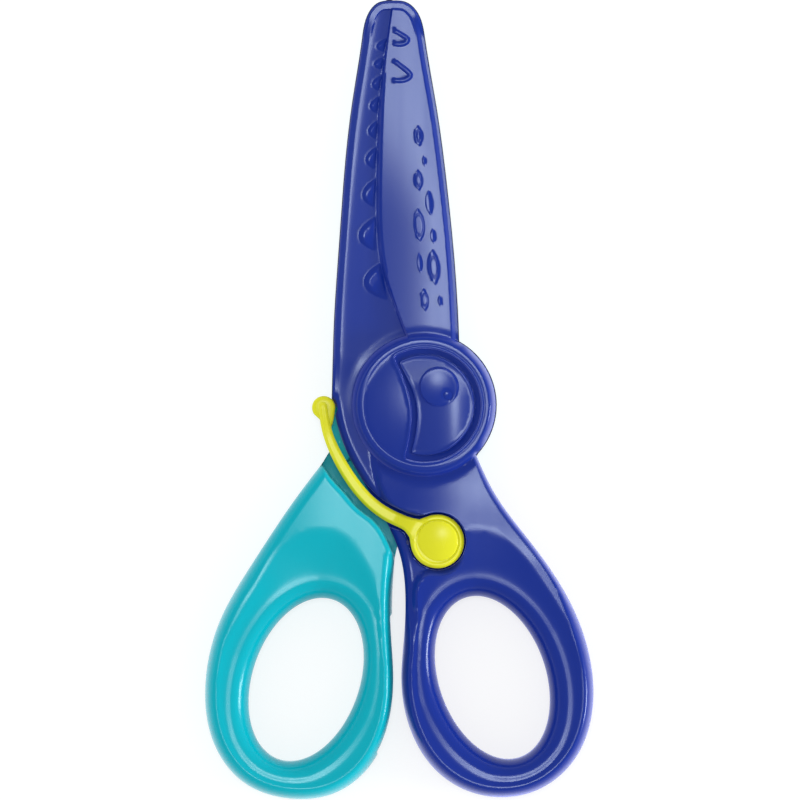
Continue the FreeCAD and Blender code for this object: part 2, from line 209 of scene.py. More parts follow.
# Teeth from the boss to the tip: height of the middle, half height and reach to the left.
TEETH = [
    (17.95, 3.5, 3.45), (25.35, 3.15, 2.85), (31.6, 2.6, 2.15), (36.9, 2.0, 1.75),
    (41.2, 1.7, 1.45), (45.0, 1.55, 1.4), (48.3, 1.4, 1.4), (51.3, 1.15, 1.5), (54.0, 1.25, 1.5),
]
TOOTH_AIM = (0.78, -0.62)
TOOTH_FALL = 0.13
# Raised scales: middle, full width and height, and the inner ring's width and height if any.
SCALES = [
    (-0.84, 40.45, 1.35, 3.26, 0.6, 1.5), (0.0, 36.7, 0.68, 1.75, 0, 0),
    (-0.86, 33.8, 1.35, 3.26, 0.75, 1.8), (0.78, 30.4, 1.25, 3.9, 0, 0),
    (-0.77, 27.07, 1.76, 5.25, 1.25, 3.15), (1.34, 25.4, 0.9, 2.4, 0, 0),
    (-0.66, 21.35, 0.9, 3.26, 0, 0), (1.47, 20.7, 1.8, 5.55, 1.05, 3.0),
    (0.06, 15.8, 1.25, 3.6, 0.86, 1.75), (2.38, 15.65, 0.75, 1.8, 0, 0),
]
SCALE_TILT = 5.0
# Nostrils: five points on each stroke's middle line, half its width, and other relief heights.
NOSTRILS = [
    [(-4.3, 56.2), (-3.0, 55.45), (-2.45, 54.85), (-2.9, 54.4), (-4.3, 54.3)],
    [(-4.25, 51.55), (-2.75, 50.4), (-2.05, 49.5), (-2.7, 48.95), (-4.3, 48.8)],
]
STROKE = 0.36
STROKE_HEIGHT = 0.26
SCALE_POWER = 2.2
SCALE_RISE = 0.14
RING_SCALE_RISE = 0.09
RING_GROOVE = 0.035

# How near to upright a rolled border ends at its edge, where 1 is upright.
ROLL_TURN = 0.95

# Finger grips: terrace around the hole, shelf above it, dish, and the rolled outside border.
TERRACE_SHARE = 0.62
TERRACE_MIN = 1.2
TERRACE_MAX = 2.8
TERRACE_ROLL = 3.2
SHELF = 0.65
DISH_DEPTH = 0.30
DISH_POWER = 1.35
NECK_ROLL = 2.7
LOOP_ROLL = 1.5
FRONT_BORDER = 1.5
REAR_BORDER = 1.6
NECK_BOW = 0.0117
NECK_BOW_END = 7
NECK_FALL = 0.16
PLATE_BORDER = 0.6
PLATE_ROLL = 0.9

# Spring lever and rivet.
LEVER_BEVEL = 0.42
RIVET_BOWL = 0.22
RIVET_DOME = 0.45
RIVET_GLINT = (BUTTON[0] + 0.8, BUTTON[1] + 0.9)
HEAD_ROLL = (0.55, 0.4)


# Curves ----------------------------------------------------------------------------------------

def spline(points, step=0.4):
    """Natural cubic curve through the points, sampled at about the given step."""
    points = np.asarray(points, float)
    count = len(points)
    chord = np.concatenate([[0], np.cumsum(np.linalg.norm(np.diff(points, axis=0), axis=1))])
    gap = np.diff(chord)
    slopes = np.diff(points, axis=0) / gap[:, None]
    system = np.eye(count)
    target = np.zeros((count, 2))
    for i in range(1, count - 1):
        system[i, i - 1:i + 2] = gap[i - 1], 2 * (gap[i - 1] + gap[i]), gap[i]
        target[i] = 6 * (slopes[i] - slopes[i - 1])
    bend = np.linalg.solve(system, target)
    t = np.linspace(0, chord[-1], max(int(round(chord[-1] / step)), 2) + 1)
    k = np.clip(np.searchsorted(chord, t, side="right") - 1, 0, count - 2)
    u = (t - chord[k])[:, None]
    h = gap[k][:, None]
    a = points[k]
    b = slopes[k] - h * (2 * bend[k] + bend[k + 1]) / 6
    return a + b * u + bend[k] * u**2 / 2 + (bend[k + 1] - bend[k]) / (6 * h) * u**3


def arc(radius, start, end, step=0.4, centre=(0.0, 0.0)):
    count = max(int(abs(math.radians(end - start)) * radius / step), 3)
    angle = np.radians(np.linspace(start, end, count + 1))
    return np.column_stack([centre[0] + radius * np.cos(angle), centre[1] + radius * np.sin(angle)])


def ring(*curves):
    """One closed outline from curves that follow each other, without its repeated points."""
    points = np.vstack(curves)
    keep = [0]
    for i in range(1, len(points)):
        if np.linalg.norm(points[i] - points[keep[-1]]) > 0.05:
            keep.append(i)
    if np.linalg.norm(points[keep[-1]] - points[0]) < 0.05:
        keep.pop()
    return points[keep]


def resample(loop, step):
    """The closed outline with evenly spaced points."""
    closed = np.vstack([loop, loop[:1]])
    lengths = np.concatenate([[0], np.cumsum(np.linalg.norm(np.diff(closed, axis=0), axis=1))])
    where = np.linspace(0, lengths[-1], int(lengths[-1] / step) + 1)[:-1]
    return np.column_stack([np.interp(where, lengths, closed[:, i]) for i in (0, 1)])


def ease_corners(loop, passes):
    """Averages each point with its neighbours, which rounds a corner a little."""
    for _ in range(passes):
        loop = 0.25 * np.roll(loop, 1, 0) + 0.5 * loop + 0.25 * np.roll(loop, -1, 0)
    return loop


def ellipse(centre, lean, step=0.4):
    """Finger hole's outline, leaning to the left for a positive angle."""
    turn = math.radians(90 + lean)
    along = np.array([math.cos(turn), math.sin(turn)])
    across = np.array([-along[1], along[0]])
    t = np.linspace(0, 2 * math.pi, int(2 * math.pi * 10.6 / step), endpoint=False)[:, None]
    return np.array(centre) + along * HOLE_LONG * np.cos(t) + across * HOLE_SHORT * np.sin(t)


# Distances -------------------------------------------------------------------------------------

def to_line(x, y, line, closed=False):
    """Distance to a line of points, and which side: positive to the left of its direction."""
    starts = np.asarray(line, float)
    ends = np.roll(starts, -1, 0) if closed else starts[1:]
    starts = starts if closed else starts[:-1]
    run = ends - starts
    square = (run**2).sum(1)
    near = np.empty(len(x))
    side = np.empty(len(x))
    block = 4000
    for i in range(0, len(x), block):
        dx = x[i:i + block, None] - starts[None, :, 0]
        dy = y[i:i + block, None] - starts[None, :, 1]
        t = np.clip((dx * run[:, 0] + dy * run[:, 1]) / square, 0, 1)
        ex = dx - t * run[:, 0]
        ey = dy - t * run[:, 1]
        d = ex**2 + ey**2
        best = d.argmin(1)
        row = np.arange(len(best))
        near[i:i + block] = np.sqrt(d[row, best])
        side[i:i + block] = (run[best, 0] * dy[row, best] - run[best, 1] * dx[row, best])
    return near, np.where(side >= 0, 1.0, -1.0)


def inside(x, y, loop):
    """Whether each point is inside the closed outline."""
    result = np.zeros(len(x), bool)
    ends = np.roll(loop, -1, 0)
    for (x0, y0), (x1, y1) in zip(loop, ends):
        if y0 == y1:
            continue
        crosses = ((y0 > y) != (y1 > y)) & (x < (x1 - x0) * (y - y0) / (y1 - y0) + x0)
        result ^= crosses
    return result


def smooth(low, high, value):
    """Smooth step from 0 at low to 1 at high."""
    t = np.clip((value - low) / (high - low), 0, 1)
    return t * t * (3 - 2 * t)


def roll(distance, width, height):
    """How far a rounded border falls: nothing past its width, all of its height at the border."""
    t = np.clip(1 - distance / width, 0, 1)
    return height * (1 - np.sqrt(1 - ROLL_TURN * t * t)) / (1 - math.sqrt(1 - ROLL_TURN))


# Meshes ----------------------------------------------------------------------------------------

def beside(line, distance, closed=False):
    """The line moved to its left by the distance, without points that fold back towards it."""
    line = np.asarray(line, float)
    if closed:
        run = np.roll(line, -1, 0) - np.roll(line, 1, 0)
    else:
        run = np.gradient(line, axis=0)
    run /= np.linalg.norm(run, axis=1)[:, None]
    moved = line + distance * np.column_stack([-run[:, 1], run[:, 0]])
    near, _ = to_line(moved[:, 0], moved[:, 1], line, closed)
    return moved[near > abs(distance) * 0.97]


def signed_area(loop):
    after = np.roll(loop, -1, 0)
    return 0.5 * (loop[:, 0] * after[:, 1] - after[:, 0] * loop[:, 1]).sum()


def turned_left(loop):
    """The closed outline in anticlockwise order."""
    return loop if signed_area(loop) > 0 else loop[::-1]


def hexes(region, spacing):
    """Evenly spaced points over a box given as its left, right, bottom and top."""
    left, right, bottom, top = region
    rows = np.arange(bottom, top, spacing * 0.866)
    columns = np.arange(left, right, spacing)
    x, y = np.meshgrid(columns, rows)
    x = x + (np.arange(len(rows)) % 2)[:, None] * spacing / 2
    return np.column_stack([x.ravel(), y.ravel()])


def clear_of(points, lines, spacing):
    """Points that aren't close to any point of the lines."""
    cell = spacing * 0.55
    taken = set()
    for x, y in np.round(np.vstack(lines) / cell).astype(int):
        taken.update((x + i, y + j) for i in (-1, 0, 1) for j in (-1, 0, 1))
    places = np.round(points / cell).astype(int)
    return points[[(x, y) not in taken for x, y in places]]


def relief(name, outer, holes, lines, fills, top, bottom):
    """Closed mesh inside the outline, between two heights that are functions of x and y.

    Lines are followed by mesh edges, and fills are boxes with the spacing of the points in them.
    """
    loops = [turned_left(outer)] + list(holes)
    points = []
    edges = []
    for loop in loops:
        first = len(points)
        points += [tuple(p) for p in loop]
        edges += [(first + i, first + (i + 1) % len(loop)) for i in range(len(loop))]
    for line in lines:
        if len(line) < 2:
            continue
        kept = covered(line, loops)
        near = np.min([to_line(line[:, 0], line[:, 1], loop, True)[0] for loop in loops], axis=0)
        kept &= near > 0.02
        last = None
        for i, p in enumerate(line):
            if not kept[i]:
                last = None
                continue
            points.append(tuple(p))
            here = len(points) - 1
            if last is not None and np.linalg.norm(line[i] - line[i - 1]) < 1.2:
                edges.append((last, here))
            last = here
    fixed = np.array(points)
    for region, spacing in fills:
        cloud = hexes(region, spacing)
        cloud = cloud[covered(cloud, loops)]
        cloud = clear_of(cloud, [fixed], spacing)
        points += [tuple(p) for p in cloud]
        fixed = np.vstack([fixed, cloud])
    flat, _, triangles, *_ = geometry.delaunay_2d_cdt(
        [Vector(p) for p in points], edges, [], 0, 1e-6)
    flat = np.array([(v.x, v.y) for v in flat])
    triangles = np.array([t for t in triangles if len(t) == 3])
    middles = flat[triangles].mean(1)
    triangles = triangles[covered(middles, loops)]
    return solid_mesh(name, flat, triangles, top, bottom)


def covered(points, loops):
    """Whether each point is inside the first outline and outside the others."""
    result = inside(points[:, 0], points[:, 1], loops[0])
    for hole in loops[1:]:
        result &= ~inside(points[:, 0], points[:, 1], hole)
    return result


def solid_mesh(name, flat, triangles, top, bottom):
    """Closed mesh from flat triangles: a front, a back and walls along every open edge."""
    used, triangles = np.unique(triangles, return_inverse=True)
    triangles = triangles.reshape(-1, 3)
    flat = flat[used]
    a, b, c = (flat[triangles[:, i]] for i in range(3))
    turn = (b[:, 0] - a[:, 0]) * (c[:, 1] - a[:, 1]) - (b[:, 1] - a[:, 1]) * (c[:, 0] - a[:, 0])
    triangles[turn < 0] = triangles[turn < 0][:, ::-1]
    x = flat[:, 0]
    y = flat[:, 1]
    high = top(x, y)
    low = np.minimum(bottom(x, y), high - 0.1)
    count = len(flat)
    vertices = np.vstack([np.column_stack([x, y, high]), np.column_stack([x, y, low])]) * MM
    sides = {}
    for t in triangles:
        for i in range(3):
            sides[(t[i], t[(i + 1) % 3])] = True
    walls = [(a, a + count, b + count, b) for a, b in sides if (b, a) not in sides]
    faces = [tuple(t) for t in triangles] + [tuple(t[::-1] + count) for t in triangles] + walls
    return new_object(name, vertices, faces)


def new_object(name, vertices, faces, sharp=30.0):
    """Object with smooth shading, apart from edges that turn by more than the sharp angle."""
    mesh = bpy.data.meshes.new(name)
    mesh.from_pydata([tuple(v) for v in vertices], [], [tuple(int(i) for i in f) for f in faces])
    mesh.validate()
    mesh.polygons.foreach_set("use_smooth", [True] * len(mesh.polygons))
    mesh.set_sharp_from_angle(angle=math.radians(sharp))
    piece = bpy.data.objects.new(name, mesh)
    bpy.context.scene.collection.objects.link(piece)
    return piece


# Shared lines ----------------------------------------------------------------------------------

blade_line = spline(BLADE_EDGE)
front_handle_line = spline(FRONT_HANDLE_EDGE)
rear_handle_line = spline(REAR_HANDLE_EDGE)
plate_line = ring(spline(PLATE_EDGE, 0.3), spline(PLATE_ARC, 0.3))
jaw_line = spline(JAW_EDGE, 0.25)
front_hole = turned_left(ellipse(FRONT_HOLE, HOLE_LEAN))
rear_hole = turned_left(ellipse(REAR_HOLE, -HOLE_LEAN))
front_dish = spline(FRONT_DISH, 0.3)
rear_dish = spline(REAR_DISH, 0.3)
low_border = spline(LOW_BORDER, 0.3)


def lever_sides(grow=0.0):
    """The lever arm's two sides, from its head to the button."""
    line = np.array(LEVER_LINE)
    run = np.gradient(line[:, :2], axis=0)
    run /= np.linalg.norm(run, axis=1)[:, None]
    out = np.column_stack([-run[:, 1], run[:, 0]]) * (line[:, 2:] + grow)
    return line[:, :2] + out, line[:, :2] - out


def lever_outline(grow=0.0):
    """Arm with a rounded end, blended into the ring around the rivet."""
    upper, lower = lever_sides(grow)
    radius = BUTTON_R + min(grow, POCKET_GAP)
    upper_join = [(-1.9, -16.95 + grow), (-0.7, -17.2 + grow)]
    lower_join = [(-3.0, -18.85 - grow), (-2.2 - 0.7 * grow, -19.9 - 0.7 * grow)]
    across = LEVER_LINE[0][2] + grow
    end = arc(across, 5, 175, 0.25, LEVER_LINE[0][:2])
    right = spline(np.vstack([upper, upper_join]), 0.3)
    left = spline(np.vstack([lower, lower_join]), 0.3)
    circle = arc(radius, 112, -173, 0.3, BUTTON)
    return turned_left(ring(left[::-1], end[::-1], right, circle))


arm_outline = lever_outline()
pocket_outline = lever_outline(ARM_GAP)


# Blade -----------------------------------------------------------------------------------------

def blade_left(y):
    """Where the blade's left edge is, as a smooth curve up to the tip."""
    return BLADE_LEFT + BLADE_BOW * y * y


def jaw_side(x, y):
    """Signed distance to the jaw's edge: positive on the upper jaw."""
    distance, side = to_line(x, y, jaw_line)
    side = np.where(y > JAW_EDGE[0][1], np.sign(x - JAW_EDGE[0][0]), side)
    return distance * side


def step_width(y):
    """How wide the step down from the upper jaw is: widest half way up the blade."""
    return (STEP_AT_TIP + STEP_GAIN * smooth(56, 43, y)) * (1 - STEP_LOSS * smooth(23, 13, y))


def tooth_outline(middle, half_height, reach):
    """Tooth with a rounded point to the left."""
    t = np.linspace(-1, 1, 33)
    y = middle + t * half_height
    back = np.interp(y, jaw_line[::-1, 1], jaw_line[::-1, 0]) - 0.85 * step_width(y)
    left = np.column_stack([back - reach * (1 - t * t), y])
    right = np.column_stack([back + 0.12, y])[::-1]
    return turned_left(resample(ring(left, right[1:-1]), 0.16))


tooth_outlines = [tooth_outline(*sizes) for sizes in TEETH]


def add_teeth(x, y, z):
    """Raises a rounded tooth over each outline, falling towards its lower right."""
    for outline, (middle, half_height, reach) in zip(tooth_outlines, TEETH):
        low = outline.min(0)
        high = outline.max(0)
        near = (x > low[0]) & (x < high[0]) & (y > low[1]) & (y < high[1])
        if not near.any():
            continue
        px = x[near]
        py = y[near]
        distance, side = to_line(px, py, outline, True)
        distance = np.where(side > 0, distance, 0)
        size = reach / TEETH[0][2]
        ramp = (0.1 + 0.3 * size) * smooth(0, 0.25 + 0.65 * size, distance)
        lower_right = TOOTH_AIM[0] * (px - low[0]) + TOOTH_AIM[1] * (py - middle)
        across = np.clip(lower_right - 0.35 * reach, 0, None)
        z[near] += np.clip(ramp - TOOTH_FALL * across, 0, None)
    return z


def add_scales(x, y, z):
    """Raises pointed scales, some with a fine oval groove on them."""
    tilt = math.radians(SCALE_TILT)
    for cx, cy, width, height, ring_width, ring_height in SCALES:
        dx = (x - cx) * math.cos(tilt) + (y - cy) * math.sin(tilt)
        dy = (y - cy) * math.cos(tilt) - (x - cx) * math.sin(tilt)
        v = np.clip(np.abs(dy) / (height / 2), 0, 1)
        half = width / 2 * (1 - v**SCALE_POWER)
        gap = half - np.abs(dx)
        here = (gap > 0) & (v < 1)
        if ring_width:
            r = np.hypot(dx / (ring_width / 2), dy / (ring_height / 2))
            groove = RING_GROOVE * np.exp(-((r - 1) * ring_width / 0.11) ** 2)
            rise = np.minimum(gap * np.where(dx < 0, 0.9, 0.3), RING_SCALE_RISE) - groove
        else:
            left = np.clip((half + dx) / 0.14, 0, 1)
            right = np.clip((half - dx) / np.maximum(0.95 * half, 0.01), 0, 1)
            rise = SCALE_RISE * np.minimum(left, right)
        z[here] += rise[here]
    return z


def add_nostrils(x, y, z):
    """Raises a half-round bead along each nostril's stroke."""
    for stroke in NOSTRILS:
        line = spline(stroke, 0.12)
        distance, _ = to_line(x, y, line)
        t = np.clip(distance / (STROKE + 0.06), 0, 1)
        z += STROKE_HEIGHT * np.sqrt(1 - t * t)
    return z


def blade_top(x, y):
    """Blade's front: a lower jaw with teeth, a raised upper jaw, and a rim around the tip."""
    edge, _ = to_line(x, y, blade_line)
    up = np.clip(y - 20, 0, None)
    side = jaw_side(x, y)
    past_band = x - blade_left(y) - BAND_END
    across = (past_band + np.sqrt(past_band**2 + BAND_ROUND**2)) / 2
    lower = LOWER_JAW - BLADE_TAPER * up - LOWER_JAW_FALL * across
    ridge = RIDGE_X - RIDGE_SHIFT * smooth(22, 54, y)
    bow = RIDGE_BOW - RIDGE_BOW_LOSS * smooth(25, 48, y)
    away = np.sqrt((x - ridge) ** 2 + RIDGE_ROUND**2) - RIDGE_ROUND
    upper = UPPER_JAW - RIDGE_TAPER * (y - 10) - bow * away
    upper = np.maximum(upper, lower + JAW_STEP)
    face = lower + (upper - lower) * smooth(-1, 0, side / step_width(y) - 0.1)
    face = add_teeth(x, y, face)
    face = add_scales(x, y, face)
    face = add_nostrils(x, y, face)
    tip = smooth(TIP_START, TIP_FULL, y)
    right = smooth(-3.5, -1.0, x) * (1 - tip)
    left_fall = np.interp(edge, *LEFT_RIM)
    left_fall = left_fall + (TIP_RIM_FALL * np.clip(1 - edge / TIP_RIM, 0, 1) - left_fall) * tip
    tip_rim_top = LOWER_JAW - BLADE_TAPER * up + TIP_RIM_RISE
    face = face + (tip_rim_top - face) * tip * smooth(1.28, 1.12, edge)
    right_fall = np.interp(edge, *RIGHT_RIM)
    swell = BOSS_SWELL * np.exp(-((np.hypot(x, y) - BOSS_R - 0.1) / BOSS_FILLET) ** 2)
    return face - right * right_fall - (1 - right) * left_fall + swell


# Boss ------------------------------------------------------------------------------------------

def boss_top(x, y, body):
    """Shallow dome with a crest near its rim, and a rolled shoulder down to the body around it.

    On its free side, where nothing is around it, the shoulder goes on down to the boss's foot.
    """
    r = np.hypot(x, y)
    dome = CREST + (BOSS_TOP - CREST) * np.clip(1 - (r / RECESS_R) ** 2, 0, 1)
    lower_left = smooth(0.1, 0.8, -(x + y) / np.maximum(r, 1) * math.sqrt(0.5))
    slope = BOSS_DOWNHILL * lower_left * np.clip(np.minimum(r, CREST_R) - RECESS_R, 0, None)
    rim = CREST - np.interp(r, *BOSS_DIP) - slope
    t = np.clip((r - CREST_R) / (BOSS_R - CREST_R), 0, 1)
    towards_free = x * math.cos(FREE_SIDE) + y * math.sin(FREE_SIDE)
    free = smooth(0.67, 0.82, towards_free / np.maximum(r, 1))
    foot = body + (np.minimum(body, BOSS_FOOT) - body) * free
    shoulder = foot + (CREST - slope - foot) * (1 - t**SHOULDER_POWER)
    z = np.where(r < RECESS_R, dome, np.where(r < CREST_R, rim, shoulder))
    recess, _ = to_line(x, y, recess_outline, True)
    return z + bead(recess)


def bead(distance, height=0.04, width=0.44):
    """Thin rounded lip that runs along a line, on the side where the distance is positive."""
    return height * np.clip(1 - (distance / (width / 2) - 1) ** 2, 0, 1)


def panel_outline(radius, left_arc, passes):
    """Segment of a circle with a left side that bulges to the right."""
    top, middle, bottom = (np.array(p) for p in left_arc)
    start = math.degrees(math.atan2(bottom[1], bottom[0]))
    end = math.degrees(math.atan2(top[1], top[0]))
    outer = arc(radius, start, end, 0.25)
    inner = spline([outer[-1], middle, outer[0]], 0.25)
    return ease_corners(resample(turned_left(ring(outer, inner)), 0.25), passes)


recess_outline = panel_outline(RECESS_R, [(-4.6, 7.2), (-1.9, -0.6), (-3.0, -8.0)], 6)
panel_edge = panel_outline(PANEL_R, [(-3.9, 6.4), (-1.15, -0.3), (-2.05, -7.3)], 3)


def panel_top(x, y):
    """Domed eye panel with a raised eyeball and a pupil ring."""
    edge, _ = to_line(x, y, panel_edge, True)
    steep = PANEL_STEEP * (1 - 0.5 * smooth(0, 4, y))
    ridge_x, ridge_y = PANEL_RIDGE
    away = np.sqrt((x - ridge_x) ** 2 + PANEL_ROUND**2) - PANEL_ROUND
    z = PANEL_TOP - steep * away - PANEL_BOW * (y - ridge_y) ** 2
    eye = np.hypot(x - EYE[0], y - EYE[1]) / EYE_R
    lit = smooth(-1.5, 1.0, (x - EYE[0] + y - EYE[1]) / EYE_R)
    ball = EYE_TOP - EYE_BOW * ((x - GLINT[0]) ** 2 + (y - GLINT[1]) ** 2)
    z = z + (np.maximum(ball, z) - z) * smooth(1.0, 0.95, eye)
    z += bead(EYE_R + 0.1 - eye * EYE_R, 0.035, 0.32) * lit
    pupil = np.hypot(x - PUPIL[0], y - PUPIL[1])
    z -= PUPIL_DEPTH * np.exp(-((pupil - PUPIL_R) / 0.13) ** 2)
    return np.minimum(z, BOSS_TOP) - roll(edge, 0.1, 0.08) + bead(edge, 0.035, 0.36)


# Handles ---------------------------------------------------------------------------------------

def grip_top(x, y, out, hole, dish, width, level):
    """Plate that dishes down to a terrace around the finger hole, with a rolled outside border."""
    dish = np.where(y < DISH_END, 9.0, dish)
    ring_width = out + hole
    terrace = np.clip(TERRACE_SHARE * (ring_width - width), TERRACE_MIN, TERRACE_MAX)
    shelf = terrace + SHELF
    inner = np.minimum(out - width - 0.2, dish)
    run = np.clip(inner, 0, None) + np.clip(hole - shelf, 0, None) + 1e-6
    share = np.clip(inner / run, 0, 1)
    z = level - DISH_DEPTH * np.sqrt(run) * (1 - (1 - share) ** DISH_POWER)
    at_shelf = np.clip(inner - (shelf - hole), 0, None)
    z = np.where(hole < shelf, level - DISH_DEPTH * np.sqrt(at_shelf + 1e-6), z)
    z -= roll(hole, terrace, TERRACE_ROLL)
    return z - roll(out, width, NECK_ROLL + LOOP_ROLL * smooth(-20, -30, y))


def front_grip(x, y):
    """Height of the front loop and of the neck's plate, and the distance to the handle's edge."""
    out, _ = to_line(x, y, front_handle_line)
    hole, _ = to_line(x, y, front_hole, True)
    dish, side = to_line(x, y, front_dish)
    neck = smooth(-24, -11, y)
    level = PLATE_TOP - (PLATE_TOP - NECK_TOP) * neck
    far = np.clip(4.6 + 0.5 * (y + 14) - 0.62 * x, 0, None)
    near = np.minimum(far, NECK_BOW_END)
    level = level - (NECK_BOW * near**2 + NECK_FALL * (far - near)) * smooth(-28, -22, y)
    width = FRONT_BORDER - 0.8 * smooth(-35, -25, y) * smooth(0, 4, x)
    return grip_top(x, y, out, hole, -dish * side, width, level), out


def front_top(x, y):
    """Front of the front half: blade, boss, neck with the lever's pocket, and grip."""
    grip, out = front_grip(x, y)
    border, side = to_line(x, y, low_border)
    low = LOW_TOP + smooth(-16, -24.5, y) + 0.8 * smooth(-25, -37, y) - roll(out, 1.3, 1.0)
    low -= LOW_FALL * np.clip(0.9 * (x + 13.0) + 0.44 * (y + 2.3), -6, 9)
    share = smooth(-0.55, 0.55, border * side)
    share = 1 - (1 - share) * smooth(-38, -30, y)
    share = np.where(x < 0, share * smooth(-4, -7, y), share)
    neck = low + (grip - low) * share
    blade = blade_top(x, y)
    body = blade + (neck - blade) * smooth(5.0, -5.0, y + 0.25 * x)
    body = np.where((y > 9) | (x > 4), np.where(y > 0, blade, neck), body)
    body = np.where((x > 0) & (y < 0), neck, body)
    r = np.hypot(x, y)
    past_boss = np.clip(r - BOSS_R, 0, None) / BOSS_GROOVE_WIDTH
    groove = BOSS_GROOVE * np.exp(-past_boss**2) * smooth(-5, -9, y)
    body = body - groove * share
    z = np.where(r <= BOSS_R + 0.005, boss_top(x, y, body), body)
    recess, _ = to_line(x, y, recess_outline, True)
    in_recess = inside(x, y, recess_outline)
    channel = PANEL_FLOOR + 0.1 - RECESS_DEPTH * np.minimum(recess, RECESS_RUN)
    z = np.where(in_recess, channel, z)
    pocket, _ = to_line(x, y, pocket_outline, True)
    notch = np.hypot(x - HEAD[0], y - HEAD[1]) - HEAD_R - HEAD_GAP
    in_pocket = inside(x, y, pocket_outline)
    floor = POCKET_FLOOR - 0.22 + 0.4 * np.minimum(pocket, 0.5)
    z = np.where(in_pocket, floor, z - roll(np.minimum(pocket, np.abs(notch)), 0.2, 0.1))
    return z


def in_insert(x, y, grow=0.2):
    """Whether a point is over the blade inserts, which back the blade and boss."""
    corner = inside(x, y, insert_outline)
    return corner | (np.hypot(x, y) < BOSS_R + grow)


insert_outline = ring(beside(blade_line, 0.2), [(4.9, 9.4), (0.0, 0.0), (-8.5, -6.6)])


def is_deep(x, y):
    """Whether the front half may use the whole thickness there."""
    corner = (x < DEEP_LEFT) & (y > DEEP_BELOW)
    return (np.hypot(x, y) > DEEP_R) & ~corner


def front_bottom(x, y):
    grip, _ = front_grip(x, y)
    z = np.where(is_deep(x, y), HANDLE_THICK - grip, FRONT_BACK)
    return np.where(in_insert(x, y), INSERT_FRONT, z)


def rear_grip(x, y):
    """Height of the rear loop and of the plate above it."""
    out, _ = to_line(x, y, rear_handle_line)
    plate, _ = to_line(x, y, plate_line)
    hole, _ = to_line(x, y, rear_hole, True)
    dish, side = to_line(x, y, rear_dish)
    level = PLATE_TOP - 0.004 * (x + 13.0) ** 2 * smooth(-30, -20, y) * (x < -13)
    z = grip_top(x, y, out, hole, -dish * side, REAR_BORDER, level)
    return z - roll(plate, PLATE_BORDER, PLATE_ROLL)


def in_rear_handle(x, y):
    near, _ = to_line(x, y, rear_handle_line)
    return inside(x, y, rear_handle_outline) | (near < 0.01)


rear_handle_outline = ring(rear_handle_line, plate_line)


def rear_top(x, y):
    """Front of the rear half: hidden blade backing, guide tongue, ledge and grip."""
    r = np.hypot(x, y)
    angle = np.degrees(np.arctan2(y, x)) % 360
    tongue = (r < TONGUE_R + 0.02) & (angle > TONGUE_START - 0.1) & (angle < TONGUE_END)
    raised = REAR_TOP - TONGUE_FALL * np.clip(r - 11.0, 0, None)
    ledge = LEDGE_TOP + LEDGE_RISE * (x + 12.0)
    web = np.where(tongue | (r < LEDGE_R), raised, ledge)
    z = np.where(in_rear_handle(x, y), rear_grip(x, y), web)
    return np.where(in_insert(x, y), INSERT_BACK, z)


def rear_bottom(x, y):
    """Back of the rear half: the same crocodile blade, a flat boss with the cap's seat, web, grip."""
    r = np.hypot(x, y)
    web = np.where(in_rear_handle(x, y), HANDLE_THICK - rear_grip(x, y), WEB_BACK)
    z = np.where(y > 2.0, THICKNESS - blade_top(x, y), web)
    z = np.where((x < -8) & (y <= 2.0) & (r < TONGUE_R + 0.2), WEB_BACK, z)
    foot = REAR_CHAMFER * smooth(9.2, BOSS_R, r)
    z = np.where(r < BOSS_R, np.minimum(foot, z), z)
    return np.where(r < CAP_R, CAP_POCKET, z)


# Pieces ----------------------------------------------------------------------------------------

def notched(outline, centre, radius):
    """The outline with a round bite taken out of its left side."""
    away = np.hypot(outline[:, 0] - centre[0], outline[:, 1] - centre[1]) > radius
    start = int(np.argmax(~away & np.roll(away, 1)))
    outline = np.roll(outline, -start, 0)
    away = np.roll(away, -start)
    kept = outline[away]
    first = math.degrees(math.atan2(kept[-1][1] - centre[1], kept[-1][0] - centre[0]))
    last = math.degrees(math.atan2(kept[0][1] - centre[1], kept[0][0] - centre[0]))
    return ring(kept, arc(radius, first, last, 0.25, centre)[1:-1])


def offsets(line, distances, closed=False):
    """Copies of the line at each distance to its left."""
    return [beside(line, d, closed) for d in distances]


def circles(radii, centre=(0.0, 0.0), step=0.3):
    return [arc(r, 0, 360, step, centre) for r in radii]


def closed_line(loop):
    return np.vstack([loop, loop[:1]])


def front_outline():
    start = math.degrees(math.atan2(BLADE_EDGE[-1][1], BLADE_EDGE[-1][0]))
    end = math.degrees(math.atan2(FRONT_HANDLE_EDGE[0][1], FRONT_HANDLE_EDGE[0][0]))
    shoulder = arc(BOSS_R, start, end)
    return notched(ring(blade_line, shoulder, front_handle_line), HEAD, HEAD_R + HEAD_GAP)


def blade_feature_lines():
    """Mesh lines along the blade's rim, jaw, teeth, nostrils and scales."""
    depths = [0.1, 0.28, 0.36, 0.5, 0.7, 0.9, 0.98, 1.12, 1.2, 1.28, 1.45, 1.75]
    lines = offsets(blade_line, [-depth for depth in depths])
    lines += offsets(jaw_line, [-0.8, -0.66, -0.5, -0.34, -0.2, -0.1, 0, 0.1, 0.3])
    for outline in tooth_outlines:
        lines.append(closed_line(outline))
        lines += offsets(outline, [0.08, 0.17, 0.3, 0.45, 0.6], True)
    for stroke in NOSTRILS:
        line = spline(stroke, 0.12)
        lines += [line] + offsets(line, [-0.5, -0.42, -0.36, -0.25, 0.25, 0.36, 0.42, 0.5])
    return lines + scale_lines()


